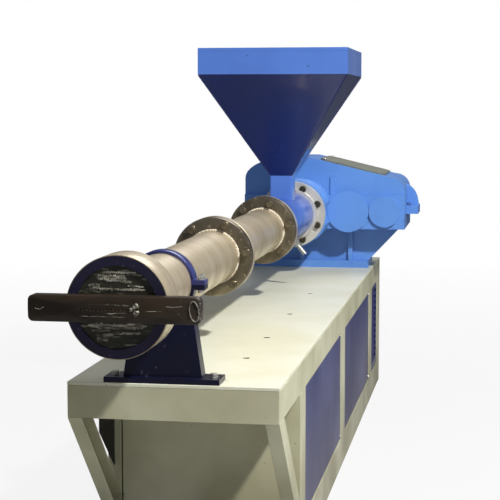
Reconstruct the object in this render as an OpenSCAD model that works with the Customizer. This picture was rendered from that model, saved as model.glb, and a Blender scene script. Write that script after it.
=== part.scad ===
// Plastic pelletizing machine: a single-screw strand extruder on a long
// sheet-steel table, with a square feed hopper and a parallel-shaft gearbox.
// X runs across the machine, Y from the die head back to the gearbox, Z up.
// The origin is under the middle of the machine, on the floor.

/* [Table] */
// Width of the table
table_w = 700; // [600:10:900]
// Height of the table top above the floor
table_h = 735; // [650:5:850]
// Thickness of the table plate
top_t = 12; // [8:1:20]
// How far the table stands out in front of the first post
front_overhang = 500; // [300:10:600]
// Length of the front side bay
bay_front = 1270; // [1000:10:1500]
// Length of the middle side bay
bay_middle = 1330; // [1000:10:1500]
// Length of the louvred rear bay
bay_rear = 400; // [300:10:500]
// Width of a post along the machine
post_w = 150; // [100:5:180]
// Depth of a post across the machine
post_d = 50; // [40:1:58]
// Height of the rail under the table plate
rail_h = 108; // [90:1:130]
// Depth of the rails and beams
rail_d = 60; // [59:1:80]
// Height of the base rail on the floor
base_h = 131; // [100:1:160]
// Sheet thickness of rails, posts and legs
sheet_t = 5; // [3:0.5:8]
// Width of a raked leg, measured along the table
leg_w = 110; // [80:1:140]
// Depth of a raked leg across the machine
leg_d = 48; // [40:1:50]
// Height at which the back edge of a raked leg meets the first post
leg_meet_h = 235; // [180:5:300]

/* [Panels] */
// Sheet thickness of the panels
panel_t = 3; // [2:0.5:5]
// How deep the panels sit behind the outer face of the posts
panel_in = 6; // [3:1:12]
// Depth of the folded edge of a panel
panel_fold = 25; // [15:1:35]
// Number of louvres in a rear side panel
louvre_n = 12; // [6:1:14]
// Height of one louvre from the next
louvre_pitch = 34; // [28:1:36]
// Width of the plain margin round the louvres
louvre_edge = 36; // [25:1:60]
// Width of the seam beside the front panel
front_seam = 5; // [3:1:8]

/* [Slots in the table] */
// Distance of the right row of slots from the left side of the table
slot_right_x = 513; // [420:1:580]
// Distance of the left row of slots from the left side of the table
slot_left_x = 261; // [180:1:300]
// Distance of the first slot from the front of the table
slot_first_y = 490; // [350:10:600]
// Distance from one slot to the next
slot_step = 600; // [400:10:650]
// Number of slots in a row
slot_n = 4; // [2:1:4]
// Length of a slot
slot_l = 46; // [30:1:80]
// Width of a slot
slot_w = 14; // [8:1:20]

/* [Barrel and head] */
// Distance of the barrel axis from the left side of the table
barrel_x = 312; // [300:1:360]
// Height of the barrel axis above the table
barrel_z = 323; // [300:1:380]
// Outer diameter of the tan barrel
barrel_d = 200; // [160:2:220]
// Distance that the head stands out in front of the table
head_out = 542; // [400:5:650]
// Diameter of the head
head_d = 300; // [260:2:340]
// Length of the full diameter of the head
head_l = 135; // [100:5:200]
// Length of the shoulder behind the head
shoulder_l = 30; // [15:1:60]
// Diameter of the blue ring on the front of the head
ring_d = 295; // [250:1:296]
// Thickness of the blue ring
ring_t = 24; // [12:1:40]
// Diameter of the dark die disc inside the ring
disc_d = 240; // [200:2:244]
// How deep the die disc sits behind the face of the ring
disc_in = 4; // [2:1:8]
// Distance of the first flange pair from the front of the table
flange_1_y = 894; // [700:1:1000]
// Outer diameter of the first flange pair
flange_1_d = 302; // [270:1:340]
// Distance of the second flange pair from the front of the table
flange_2_y = 2094; // [1800:1:2130]
// Outer diameter of the second flange pair
flange_2_d = 311; // [270:1:340]
// Thickness of one flange
flange_t = 34; // [20:1:50]
// Chamfer on the rims of the flanges
rim_cut = 3; // [1:0.5:5]

/* [Strand die bar] */
// Length of the die bar
bar_l = 500; // [400:5:560]
// Height of the die bar
bar_h = 88; // [60:1:110]
// Thickness of the die bar
bar_t = 45; // [30:1:60]
// Depth of the round recess at the right end of the bar
end_in = 12; // [6:1:20]
// Number of strand holes
strand_n = 12; // [6:1:14]
// Distance from one strand hole to the next
strand_pitch = 14; // [12:0.5:18]
// Diameter of a strand hole
strand_d = 4; // [3:0.5:5]

/* [Pedestal] */
// Width of the pedestal foot plate
foot_w = 383; // [330:1:420]
// Depth of the pedestal foot plate
foot_d = 110; // [90:1:140]
// Thickness of the pedestal foot plate
foot_t = 18; // [12:1:25]
// Gap from the front edge of the table to the foot plate
foot_y = 4; // [2:1:60]
// Width of the pedestal at the bottom
ped_bottom_w = 262; // [240:1:300]
// Width of the pedestal at the saddle
ped_top_w = 186; // [180:1:230]
// Thickness of the pedestal along the machine
ped_t = 60; // [40:1:80]
// Distance of the clamp ring's middle from the table's front edge
clamp_y = 36; // [30:1:60]
// Width of the clamp ring along the machine
clamp_w = 55; // [25:1:60]
// Thickness of the clamp ring round the barrel
clamp_t = 10; // [8:1:20]
// Length of a clamp lug
lug_l = 34; // [28:1:45]
// Thickness of a clamp lug
lug_t = 16; // [10:1:24]

/* [Feed section] */
// Outer diameter of the blue feed section
feed_d = 230; // [210:2:250]
// Diameter of the bore for the screw
feed_bore = 120; // [90:2:130]
// Diameter of the core of the screw
screw_core = 66; // [50:2:80]
// Distance from one turn of the screw's flight to the next
screw_pitch = 110; // [80:5:140]
// Width of the flight, as an angle round the screw
flight_angle = 36; // [24:4:48]
// Length of the full ring at each end of the screw
screw_ring = 50; // [30:5:80]
// Running gap between the screw and its bore
screw_gap = 1; // [0.5:0.5:2]
// Distance of the hopper from the front of the table
hopper_y = 2740; // [2700:5:2780]
// Outer width of the square neck under the hopper
neck_w = 112; // [90:1:120]
// Wall of the neck
neck_t = 10; // [6:1:14]
// Height of the neck above the feed section
neck_h = 109; // [80:1:150]
// Width of the flange at the top of the neck
neck_flange_w = 150; // [130:1:180]
// Thickness of the flange at the top of the neck
neck_flange_t = 10; // [6:1:14]
// Diameter of the water nipple
nipple_d = 22; // [14:1:30]
// Length of the water nipple
nipple_l = 92; // [50:1:120]
// Distance of the water nipple from the front of the table
nipple_y = 2600; // [2400:5:2630]
// Angle of the water nipple below the horizontal
nipple_angle = 50; // [30:1:70]

/* [Hopper] */
// Outer width of the hopper
hopper_w = 722; // [600:2:760]
// Height of the sloping part of the hopper
cone_h = 498; // [400:2:560]
// Height of the upright rim
rim_h = 109; // [80:1:160]
// Height of the dark lip on the rim
lip_h = 17; // [10:1:25]
// Width of the lip
lip_w = 20; // [12:1:30]
// Sheet thickness of the hopper
hopper_t = 4; // [3:0.5:6]

/* [Gearbox] */
// Distance of the gearbox pads from the front of the table
gear_y = 3370; // [3350:5:3400]
// Depth of the gearbox over its bearing pads
gear_l = 560; // [500:5:600]
// Distance of the left end of the gearbox from the left side of the table
gear_left = 10; // [0:1:40]
// Distance of the right end of the gearbox from the left side of the table
gear_right = 888; // [870:1:900]
// Length of the ear on the joint flange
ear_l = 64; // [50:1:100]
// Thickness of the joint flange, each half
joint_t = 22; // [16:1:28]
// Height of the bearing pad above the shafts
pad_up = 88; // [70:1:100]
// Height of the bearing pad below the shafts
pad_down = 96; // [92:1:110]
// How far the pads stand out of the upper housing
pad_out = 22; // [15:1:40]
// How far the sump is set back behind the pads
sump_in = 165; // [150:5:190]
// Height of the top of the gearbox above the table
gear_top = 615; // [580:1:640]
// How far the flat top starts left of the barrel axis
top_left = 60; // [30:5:90]
// How far the flat top reaches right of the barrel axis
top_right = 50; // [20:5:70]
// Drop of the top over its sloping right part
top_drop = 105; // [80:5:125]
// Drop of the top at the left shoulder
left_drop = 115; // [90:5:140]
// Radius of the rounded shoulders of the casing
shoulder_r = 84; // [60:2:90]
// Width of the ears on the joint flange along the machine
ear_w = 220; // [160:10:260]
// Distance of the second shaft from the barrel axis
shaft_2 = 270; // [260:1:275]
// Distance of the input shaft from the barrel axis
shaft_3 = 467; // [462:1:475]
// Diameter of the large bearing cap
cap_2_d = 224; // [200:1:224]
// Diameter of the small bearing cap
cap_3_d = 168; // [150:1:169]
// Thickness of the bearing caps
cap_t = 18; // [10:1:25]
// Outer diameter of the grey gearbox flange
gflange_d = 345; // [310:1:350]
// Thickness of the grey gearbox flange
gflange_t = 45; // [30:1:50]
// Diameter of the collar of the grey flange
collar_d = 268; // [256:1:272]
// Length of the collar of the grey flange
collar_l = 30; // [15:1:40]
// Diameter of the round boss behind the grey flange
boss_d = 360; // [352:1:370]
// Length of the round boss in front of the pads
boss_l = 225; // [180:5:260]
// Width of the gearbox base flange
gbase_w = 640; // [600:5:680]
// Thickness of the gearbox base flange
gbase_t = 40; // [30:1:50]
// Depth of the gearbox base flange
gbase_d = 300; // [280:5:340]
// Thickness of a rib
rib_t = 24; // [16:1:30]
// Height of the short rib on the upper housing
rib_up = 100; // [60:5:110]
// How far the short rib stands out
rib_out = 10; // [5:1:14]
// Thickness of the inspection cover
cover_t = 10; // [6:1:16]
// Margin from the inspection cover to the edges of the sloping top
cover_edge = 60; // [40:5:80]
// Diameter of the input shaft
input_d = 48; // [38:1:60]
// Length of the input shaft behind the gearbox
input_l = 90; // [60:1:92]
// Diameter of the collar of the input shaft in its cap
input_collar_d = 64; // [61:1:80]

/* [Fits] */
// Gap between a curved seat and what lies in it
seat_gap = 0.3; // [0.1:0.1:0.5]
// Diameter of an anchor hole
anchor_d = 18; // [14:1:24]
// Width of an anchor plate
anchor_w = 110; // [90:1:130]

/* [Hidden] */
$fn = 96;

// Table: lengths and levels
bays = [bay_front, bay_middle, bay_rear];
table_l = front_overhang + 4 * post_w + bay_front + bay_middle + bay_rear;
post_y = [
    front_overhang,
    front_overhang + post_w + bay_front,
    front_overhang + 2 * post_w + bay_front + bay_middle,
    table_l - post_w
];
plate_z = table_h - top_t;
rail_z = plate_z - rail_h;
side_h = rail_z - base_h;
leg_slope = (rail_z - leg_meet_h) / (front_overhang - leg_w);
leg_front_h = rail_z - front_overhang * leg_slope;
kick_run = base_h / leg_slope;
member_h = 60;
weld = 1;
big = 4000;

// Barrel: heights and stations along Y
axis_z = table_h + barrel_z;
barrel_r = barrel_d / 2;
head_y = -head_out;
head_back_y = head_y + head_l;
shoulder_y = head_back_y + shoulder_l;
bar_y = head_y - bar_t;
ped_y = foot_y + foot_d / 2;
feed_r = feed_d / 2;
feed_y0 = flange_2_y + 2 * flange_t;
feed_y1 = gear_y - boss_l - gflange_t;

// Hopper: levels
neck_z = axis_z + feed_r;
cone_z = neck_z + neck_h;
rim_z = cone_z + cone_h;
lip_z = rim_z + rim_h;
neck_in = neck_w - 2 * neck_t;

// Gearbox: levels and the ends of its slopes
gear_mid_y = gear_y + gear_l / 2;
joint_left = gear_left - 30;
joint_right = gear_right + ear_l;
sump_left = gear_left + 30;
gbase_right = gear_left + 30 + gbase_w;
peak_left = barrel_x - top_left;
peak_right = barrel_x + top_right;
cover_end = gear_right - shoulder_r;
gear_top_z = table_h + gear_top;
cover_end_z = gear_top_z - top_drop;
cover_slope = top_drop / (cover_end - peak_right);
cover_angle = atan(cover_slope);

// Middle of the whole machine, which becomes the origin
mid_x = (min(0, joint_left, barrel_x - hopper_w / 2) + joint_right) / 2;
mid_y = (bar_y + table_l) / 2;

// Moves a piece from the corner of the table to the origin of the machine
module placed() {
    translate([-mid_x, -mid_y, 0]) children();
}

// The left side of the table seen in a mirror is the right side
module right_side() {
    translate([table_w, 0, 0]) mirror([1, 0, 0]) children();
}

// Round bar along Y from y0 to y1 on the barrel axis
module axis_bar(d, y0, y1, x = barrel_x) {
    translate([x, y1, axis_z]) rotate([90, 0, 0]) cylinder(d = d, h = y1 - y0);
}

// Flat outline in the Y-Z plane, thickened along X
module side_plate(x0, x1) {
    translate([x0, 0, 0]) rotate([90, 0, 90]) linear_extrude(x1 - x0) children();
}

// Flat outline in the X-Z plane, thickened along Y
module front_plate(y0, y1) {
    translate([0, y1, 0]) rotate([90, 0, 0]) linear_extrude(y1 - y0) children();
}

// Folded channel along Y, open towards the inside of the machine
module channel_y(y0, y1, z, h) {
    difference() {
        translate([0, y0, z]) cube([rail_d, y1 - y0, h]);
        translate([sheet_t, y0 - 1, z + sheet_t]) cube([rail_d, y1 - y0 + 2, h - 2 * sheet_t]);
    }
}

// Folded beam along X with closed ends, open towards the inside
module beam_x(z, h) {
    difference() {
        translate([0, 0, z]) cube([table_w, rail_d, h]);
        translate([sheet_t, sheet_t, z + sheet_t])
            cube([table_w - 2 * sheet_t, rail_d, h - 2 * sheet_t]);
    }
}

// Oblong cut through the table plate
module table_slot(x, y) {
    half = (slot_l - slot_w) / 2;
    translate([x - half, y, plate_z - 1]) cylinder(d = slot_w, h = top_t + 2);
    translate([x + half, y, plate_z - 1]) cylinder(d = slot_w, h = top_t + 2);
    translate([x - half, y - slot_w / 2, plate_z - 1]) cube([2 * half, slot_w, top_t + 2]);
}

module table_top() {
    color("ivory") placed() difference() {
        translate([0, 0, plate_z]) cube([table_w, table_l, top_t]);
        for (x = [slot_left_x, slot_right_x], i = [0 : slot_n - 1])
            table_slot(x, slot_first_y + i * slot_step);
    }
}

module front_rail() {
    color("beige") placed() beam_x(rail_z, rail_h);
}

// Two beams across the back: under the plate and on the floor
module rear_beams() {
    color("beige") placed() translate([0, table_l, 0]) mirror([0, 1, 0]) {
        beam_x(rail_z, rail_h);
        beam_x(0, base_h);
    }
}

module side_rail() {
    channel_y(rail_d, table_l - rail_d, rail_z, rail_h);
}

module side_rail_left() {
    color("beige") placed() side_rail();
}

module side_rail_right() {
    color("beige") placed() right_side() side_rail();
}

// One post: a folded channel that stands on the base rail
module post(y) {
    difference() {
        translate([0, y, base_h]) cube([post_d, post_w, side_h]);
        translate([sheet_t, y + sheet_t, base_h - 1])
            cube([post_d, post_w - 2 * sheet_t, side_h + 2]);
    }
}

module posts_left() {
    color("beige") placed() for (y = post_y) post(y);
}

module posts_right() {
    color("beige") placed() right_side() for (y = post_y) post(y);
}

// Raked leg: from the front corner of the rail back to the first post
module raked_leg() {
    inset = sheet_t / sin(atan(leg_slope));
    difference() {
        side_plate(0, leg_d) polygon([
            [0, rail_z], [leg_w, rail_z],
            [front_overhang, leg_meet_h], [front_overhang, leg_front_h]
        ]);
        side_plate(sheet_t, leg_d + 1) polygon([
            [inset, rail_z + 1], [leg_w - inset, rail_z + 1],
            [front_overhang + 1, leg_meet_h - inset * leg_slope],
            [front_overhang + 1, leg_front_h + inset * leg_slope]
        ]);
    }
}

module raked_leg_left() {
    color("beige") placed() raked_leg();
}

module raked_leg_right() {
    color("beige") placed() right_side() raked_leg();
}

// Base rail: its front end is cut along the rake of the leg
module base_rail() {
    difference() {
        channel_y(front_overhang, table_l - rail_d, 0, base_h);
        side_plate(-1, rail_d + 1) polygon([
            [front_overhang - 1, -1], [front_overhang + kick_run, -1],
            [front_overhang + kick_run, 0], [front_overhang, base_h],
            [front_overhang - 1, base_h]
        ]);
    }
}

module base_rail_left() {
    color("beige") placed() base_rail();
}

module base_rail_right() {
    color("beige") placed() right_side() base_rail();
}

// Sloping plate that closes the front between the base rails
module front_kick_plate() {
    color("beige") placed() side_plate(rail_d, table_w - rail_d) polygon([
        [front_overhang, base_h], [front_overhang + kick_run, 0],
        [front_overhang + kick_run + sheet_t, 0], [front_overhang + sheet_t, base_h]
    ]);
}

// Channels across the machine, under the plate and on the floor
module cross_members() {
    inner = table_w - 2 * rail_d;
    color("beige") placed() {
        for (y = post_y) difference() {
            translate([rail_d, y, plate_z - member_h]) cube([inner, member_h, member_h]);
            translate([rail_d - 1, y + sheet_t, plate_z - member_h - 1])
                cube([inner + 2, member_h - 2 * sheet_t, member_h - sheet_t + 1]);
        }
        for (y = [post_y[1], post_y[2]]) difference() {
            translate([rail_d, y, 0]) cube([inner, member_h, member_h]);
            translate([rail_d - 1, y + sheet_t, -1])
                cube([inner + 2, member_h - 2 * sheet_t, member_h - sheet_t + 1]);
        }
    }
}

// Anchor plates: one inside each corner of the base, with a bolt hole
module anchor_plates() {
    y0 = front_overhang + kick_run + sheet_t;
    color("gray") placed() for (x = [rail_d, table_w - rail_d - anchor_w])
        for (y = [y0, table_l - rail_d - anchor_w]) difference() {
            translate([x, y, 0]) cube([anchor_w, anchor_w, top_t]);
            translate([x + anchor_w / 2, y + anchor_w / 2, -1])
                cylinder(d = anchor_d, h = top_t + 2);
        }
}

// Folded tray panel for a side bay
module side_panel(y, w) {
    difference() {
        translate([panel_in, y, base_h]) cube([panel_fold, w, side_h]);
        translate([panel_in + panel_t, y + panel_t, base_h + panel_t])
            cube([panel_fold, w - 2 * panel_t, side_h - 2 * panel_t]);
    }
}

module side_panels_left() {
    color("midnightblue") placed() for (i = [0, 1]) side_panel(post_y[i] + post_w, bays[i]);
}

module side_panels_right() {
    color("midnightblue") placed() right_side()
        for (i = [0, 1]) side_panel(post_y[i] + post_w, bays[i]);
}

// Rear side panel with slanted louvres
module louvre_panel() {
    y = post_y[2] + post_w;
    louvres_h = louvre_n * louvre_pitch;
    z = base_h + (side_h - louvres_h) / 2;
    w = bay_rear - 2 * louvre_edge;
    slat_t = 2.5;
    difference() {
        side_panel(y, bay_rear);
        translate([0, y + louvre_edge, z]) cube([panel_in + panel_t + 1, w, louvres_h]);
    }
    for (i = [0 : louvre_n - 1])
        front_plate(y + louvre_edge - 1, y + louvre_edge + w + 1) translate([panel_in, z + i * louvre_pitch])
            polygon([
                [0, 0], [slat_t, 0],
                [louvre_pitch * 0.6, louvre_pitch], [louvre_pitch * 0.6 - slat_t, louvre_pitch]
            ]);
}

module louvre_panel_left() {
    color("steelblue") placed() louvre_panel();
}

module louvre_panel_right() {
    color("steelblue") placed() right_side() louvre_panel();
}

// Front panel between the first posts, with a seam on its left
module front_panel() {
    z1 = plate_z - member_h;
    color("beige") placed() difference() {
        translate([post_d + front_seam, front_overhang, base_h])
            cube([table_w - 2 * post_d - front_seam, panel_fold, z1 - base_h]);
        translate([post_d + front_seam + panel_t, front_overhang + panel_t, base_h + panel_t])
            cube([table_w - 2 * post_d - front_seam - 2 * panel_t, panel_fold,
                z1 - base_h - 2 * panel_t]);
    }
}

module rear_panel() {
    color("midnightblue") placed() difference() {
        translate([post_d, table_l - panel_in - panel_fold, base_h])
            cube([table_w - 2 * post_d, panel_fold, side_h]);
        translate([post_d + panel_t, table_l - panel_in - panel_fold - 1, base_h + panel_t])
            cube([table_w - 2 * post_d - 2 * panel_t, panel_fold - panel_t + 1,
                side_h - 2 * panel_t]);
    }
}

// Half ring with two lugs, above (side = 1) or below (side = -1) the axis
module half_clamp(side) {
    r0 = barrel_r + seat_gap;
    r1 = r0 + clamp_t;
    difference() {
        union() {
            axis_bar(2 * r1, clamp_y - clamp_w / 2, clamp_y + clamp_w / 2);
            translate([barrel_x - r1 - lug_l, clamp_y - clamp_w / 2, axis_z - lug_t])
                cube([2 * (r1 + lug_l), clamp_w, 2 * lug_t]);
        }
        axis_bar(2 * r0, clamp_y - clamp_w, clamp_y + clamp_w);
        translate([barrel_x, clamp_y, axis_z - side * big / 2]) cube(big, center = true);
    }
}

// Pedestal: foot plate, tapered web and the lower half of the clamp
module pedestal() {
    r0 = barrel_r + seat_gap;
    color("navy") placed() {
        difference() {
            translate([barrel_x - foot_w / 2, foot_y, table_h]) cube([foot_w, foot_d, foot_t]);
            for (s = [-1, 1])
                translate([barrel_x + s * (foot_w / 2 - 28), ped_y, table_h - 1])
                    cylinder(d = 18, h = foot_t + 2);
        }
        difference() {
            front_plate(ped_y - ped_t / 2, ped_y + ped_t / 2) polygon([
                [barrel_x - ped_bottom_w / 2, table_h + foot_t - weld],
                [barrel_x + ped_bottom_w / 2, table_h + foot_t - weld],
                [barrel_x + ped_top_w / 2, axis_z - barrel_r / 2],
                [barrel_x - ped_top_w / 2, axis_z - barrel_r / 2]
            ]);
            axis_bar(2 * r0, ped_y - ped_t, ped_y + ped_t);
        }
        half_clamp(-1);
    }
}

module clamp_cap() {
    color("royalblue") placed() half_clamp(1);
}

// Head: a thick round body that steps down to the barrel
module head_body() {
    color("tan") placed() difference() {
        union() {
            axis_bar(head_d, head_y + 2, head_back_y);
            translate([barrel_x, shoulder_y, axis_z]) rotate([90, 0, 0])
                cylinder(d1 = barrel_d + 30, d2 = head_d - 10, h = shoulder_l);
        }
        axis_bar(ring_d, head_y, head_y + ring_t);
    }
}

// Blue ring let into the front of the head
module head_ring() {
    color("navy") placed() difference() {
        axis_bar(ring_d - 2 * seat_gap, head_y, head_y + ring_t);
        axis_bar(disc_d, head_y - 1, head_y + ring_t + 1);
    }
}

module die_disc() {
    color("dimgray") placed() axis_bar(disc_d - 2 * seat_gap, head_y + disc_in, head_y + ring_t);
}

// Strand die: a bar with a rounded left end and a row of strand holes
module die_bar() {
    x0 = barrel_x - bar_l / 2;
    x1 = barrel_x + bar_l / 2;
    z0 = axis_z - bar_h / 2;
    z1 = axis_z + bar_h / 2;
    cut = bar_h * 0.28;
    end_r = bar_h * 0.2;
    color("saddlebrown") placed() difference() {
        union() {
            front_plate(bar_y, head_y) union() {
                polygon([
                    [x0 + end_r, z0], [x1 - cut, z0], [x1, z0 + cut],
                    [x1, z1 - cut / 2], [x1 - cut / 2, z1], [x0 + end_r, z1]
                ]);
                translate([x0, z0 + end_r]) square([end_r, bar_h - 2 * end_r]);
                translate([x0 + end_r, z0 + end_r]) circle(r = end_r);
                translate([x0 + end_r, z1 - end_r]) circle(r = end_r);
            }
            axis_bar(bar_h, head_y - 1, head_y + disc_in);
        }
        translate([x1 + bar_h * 0.1, bar_y - 1, axis_z]) rotate([-90, 0, 0])
            cylinder(r = bar_h * 0.36, h = end_in + 1);
        for (i = [0 : strand_n - 1])
            translate([barrel_x + (i - (strand_n - 1) / 2) * strand_pitch, bar_y + bar_t / 2, axis_z])
                rotate([90, 0, 0]) cylinder(d = strand_d, h = bar_t);
    }
}

// Flange with chamfered rims between y0 and y0 + flange_t
module flange(d, y0) {
    axis_bar(d, y0 + rim_cut, y0 + flange_t - rim_cut);
    for (side = [0, 1]) translate([barrel_x, y0 + side * flange_t, axis_z])
        rotate([side == 1 ? 90 : -90, 0, 0]) cylinder(d1 = d - 2 * rim_cut, d2 = d, h = rim_cut);
}

module barrel_front() {
    color("tan") placed() axis_bar(barrel_d, shoulder_y, flange_1_y);
}

module flange_1_front() {
    color("darkolivegreen") placed() flange(flange_1_d, flange_1_y);
}

module flange_1_rear() {
    color("tan") placed() flange(flange_1_d, flange_1_y + flange_t);
}

module barrel_middle() {
    color("tan") placed() axis_bar(barrel_d, flange_1_y + 2 * flange_t, flange_2_y);
}

module flange_2_front() {
    color("darkolivegreen") placed() flange(flange_2_d, flange_2_y);
}

module flange_2_rear() {
    color("tan") placed() flange(flange_2_d, flange_2_y + flange_t);
}

// Feed section: a thick tube with a square throat at the top
module feed_section() {
    color("steelblue") placed() difference() {
        axis_bar(feed_d, feed_y0, feed_y1);
        axis_bar(feed_bore, feed_y0 - 1, feed_y1 + 1);
        translate([barrel_x - neck_in / 2, hopper_y - neck_in / 2, axis_z])
            cube([neck_in, neck_in, feed_d]);
    }
}

// Cross-section of the flight: a sector of the screw's full circle
module flight_section() {
    r = feed_bore / 2 - screw_gap;
    step = flight_angle / 4;
    arc = [for (i = [0 : 4]) [r * cos(i * step), r * sin(i * step)]];
    polygon(concat([[0, 0]], arc));
}

// Screw: a round core with one flight wound along it, closed by a full ring at each end
module feed_screw() {
    flight_l = feed_y1 - feed_y0 - 2 * screw_ring;
    turns = flight_l / screw_pitch;
    color("silver") placed() {
        axis_bar(screw_core, feed_y0, feed_y1);
        for (y = [feed_y0, feed_y1 - screw_ring])
            axis_bar(feed_bore - 2 * screw_gap, y, y + screw_ring);
        translate([barrel_x, feed_y1 - screw_ring + weld, axis_z]) rotate([90, 0, 0])
            linear_extrude(flight_l + 2 * weld, twist = -360 * turns, slices = round(14 * turns), $fn = 8)
                flight_section();
    }
}

// Water nipple: a hexagon and a hose tail that lean out of the feed section
module water_nipple() {
    color("silver") placed() translate([barrel_x, nipple_y, axis_z]) rotate([0, 90 + nipple_angle, 0]) {
        difference() {
            translate([0, 0, feed_r - 6]) cylinder(d = nipple_d * 1.6, h = 6 + nipple_l * 0.4, $fn = 6);
            rotate([90, 0, 0]) cylinder(r = feed_r + seat_gap, h = 4 * nipple_d, center = true);
        }
        translate([0, 0, feed_r + nipple_l * 0.4]) difference() {
            cylinder(d = nipple_d, h = nipple_l * 0.6);
            cylinder(d = nipple_d * 0.55, h = nipple_l);
        }
    }
}

// Neck: a square tube that saddles the feed section and ends in a flange
module hopper_neck() {
    color("steelblue") placed() translate([barrel_x, hopper_y, 0]) difference() {
        union() {
            translate([-neck_w / 2, -neck_w / 2, axis_z + feed_r / 2])
                cube([neck_w, neck_w, cone_z - axis_z - feed_r / 2]);
            translate([-neck_flange_w / 2, -neck_flange_w / 2, cone_z - neck_flange_t])
                cube([neck_flange_w, neck_flange_w, neck_flange_t]);
        }
        translate([-neck_in / 2, -neck_in / 2, axis_z]) cube([neck_in, neck_in, big]);
        translate([0, neck_w, axis_z]) rotate([90, 0, 0])
            cylinder(r = feed_r + seat_gap, h = 2 * neck_w);
    }
}

// Square frustum between two widths, standing on z
module frustum(w0, w1, z, h) {
    translate([0, 0, z]) rotate([0, 0, 45])
        cylinder(d1 = w0 * sqrt(2), d2 = w1 * sqrt(2), h = h, $fn = 4);
}

module hopper_cone() {
    slope = (hopper_w - neck_w) / cone_h;
    color("navy") placed() translate([barrel_x, hopper_y, 0]) difference() {
        union() {
            frustum(neck_w, hopper_w, cone_z, cone_h);
            translate([-neck_flange_w / 2, -neck_flange_w / 2, cone_z])
                cube([neck_flange_w, neck_flange_w, neck_flange_t]);
        }
        frustum(neck_in - slope, hopper_w - 2 * hopper_t + slope, cone_z - 1, cone_h + 2);
    }
}

module hopper_rim() {
    color("royalblue") placed() translate([barrel_x, hopper_y, rim_z]) difference() {
        translate([-hopper_w / 2, -hopper_w / 2, 0]) cube([hopper_w, hopper_w, rim_h]);
        translate([hopper_t - hopper_w / 2, hopper_t - hopper_w / 2, -1])
            cube([hopper_w - 2 * hopper_t, hopper_w - 2 * hopper_t, rim_h + 2]);
    }
}

module hopper_lip() {
    color("midnightblue") placed() translate([barrel_x, hopper_y, lip_z]) difference() {
        translate([-hopper_w / 2, -hopper_w / 2, 0]) cube([hopper_w, hopper_w, lip_h]);
        translate([lip_w - hopper_w / 2, lip_w - hopper_w / 2, -1])
            cube([hopper_w - 2 * lip_w, hopper_w - 2 * lip_w, lip_h + 2]);
    }
}

// Grey flange that bolts the feed section to the gearbox
module gearbox_flange() {
    y1 = feed_y1 + gflange_t;
    color("darkgray") placed() difference() {
        union() {
            axis_bar(gflange_d, feed_y1, y1);
            axis_bar(collar_d, feed_y1 - collar_l, y1);
        }
        axis_bar(feed_d + 2 * seat_gap, feed_y1 - collar_l - 1, feed_y1);
    }
}

// Upper (side = 1) or lower (side = -1) half of the round boss, cut clear of the cap beside it
module half_boss(side) {
    difference() {
        axis_bar(boss_d, gear_y - boss_l, gear_y + pad_out);
        axis_bar(cap_2_d + 2, gear_y - boss_l - 1, gear_y, barrel_x + shaft_2);
        translate([barrel_x, gear_y, axis_z - side * big / 2]) cube(big, center = true);
    }
}

// Outline of the upper half of the gearbox casing: a flat top, a long slope to
// the right and a round shoulder at each end
module upper_outline() {
    right_z = cover_end_z - shoulder_r;
    left_z = gear_top_z - left_drop;
    left_run = peak_left - gear_left;
    right_arc = [for (a = [0 : 10 : 80])
        [cover_end + shoulder_r * cos(a), right_z + shoulder_r * sin(a)]];
    left_arc = [for (a = [100 : 10 : 180])
        [peak_left + left_run * cos(a), left_z + left_drop * sin(a)]];
    polygon(concat(
        [[gear_left, axis_z], [gear_right, axis_z]],
        right_arc,
        [[cover_end, cover_end_z], [peak_right, gear_top_z], [peak_left, gear_top_z]],
        left_arc
    ));
}

// One rounded ear of the joint flange with a lifting hole, from z0 up
module joint_ears(z0, h) {
    hole_d = 26;
    y0 = gear_mid_y - ear_w / 2;
    difference() {
        translate([joint_left, y0, z0]) cube([joint_right - joint_left, ear_w, h]);
        for (y = [y0 + 40, y0 + ear_w - 40])
            translate([joint_right - 32, y, z0 - 1]) cylinder(d = hole_d, h = h + 2);
    }
}

module gearbox_upper() {
    color("cornflowerblue") placed() {
        front_plate(gear_y + pad_out, gear_y + gear_l - pad_out) upper_outline();
        translate([gear_left, gear_y, axis_z]) cube([gear_right - gear_left, gear_l, pad_up]);
        joint_ears(axis_z, joint_t);
        translate([peak_right + 2 * cover_edge, gear_y + pad_out - rib_out, axis_z + pad_up - weld])
            cube([rib_t, gear_l - 2 * pad_out + 2 * rib_out, rib_up + weld]);
        half_boss(1);
    }
}

// Lower half: pads, sump, ribs and the base flange that stands on the table
module gearbox_lower() {
    sump_y0 = gear_y + sump_in;
    sump_y1 = gear_y + gear_l - sump_in;
    color("cornflowerblue") placed() {
        translate([gear_left, gear_y, axis_z - pad_down])
            cube([gear_right - gear_left, gear_l, pad_down]);
        joint_ears(axis_z - joint_t, joint_t);
        front_plate(sump_y0, sump_y1) polygon([
            [gear_left, axis_z - pad_down + weld], [sump_left, table_h + gbase_t - weld],
            [gbase_right, table_h + gbase_t - weld], [gear_right - 30, axis_z - pad_down + weld]
        ]);
        translate([sump_left, gear_mid_y - gbase_d / 2, table_h]) cube([gbase_w, gbase_d, gbase_t]);
        for (x = [sump_left + 40, barrel_x, barrel_x + shaft_2])
            translate([x - rib_t / 2, gear_mid_y - gbase_d / 2 + 10, table_h + weld])
                cube([rib_t, gbase_d - 20, axis_z - pad_down - table_h]);
        half_boss(-1);
    }
}

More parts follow.
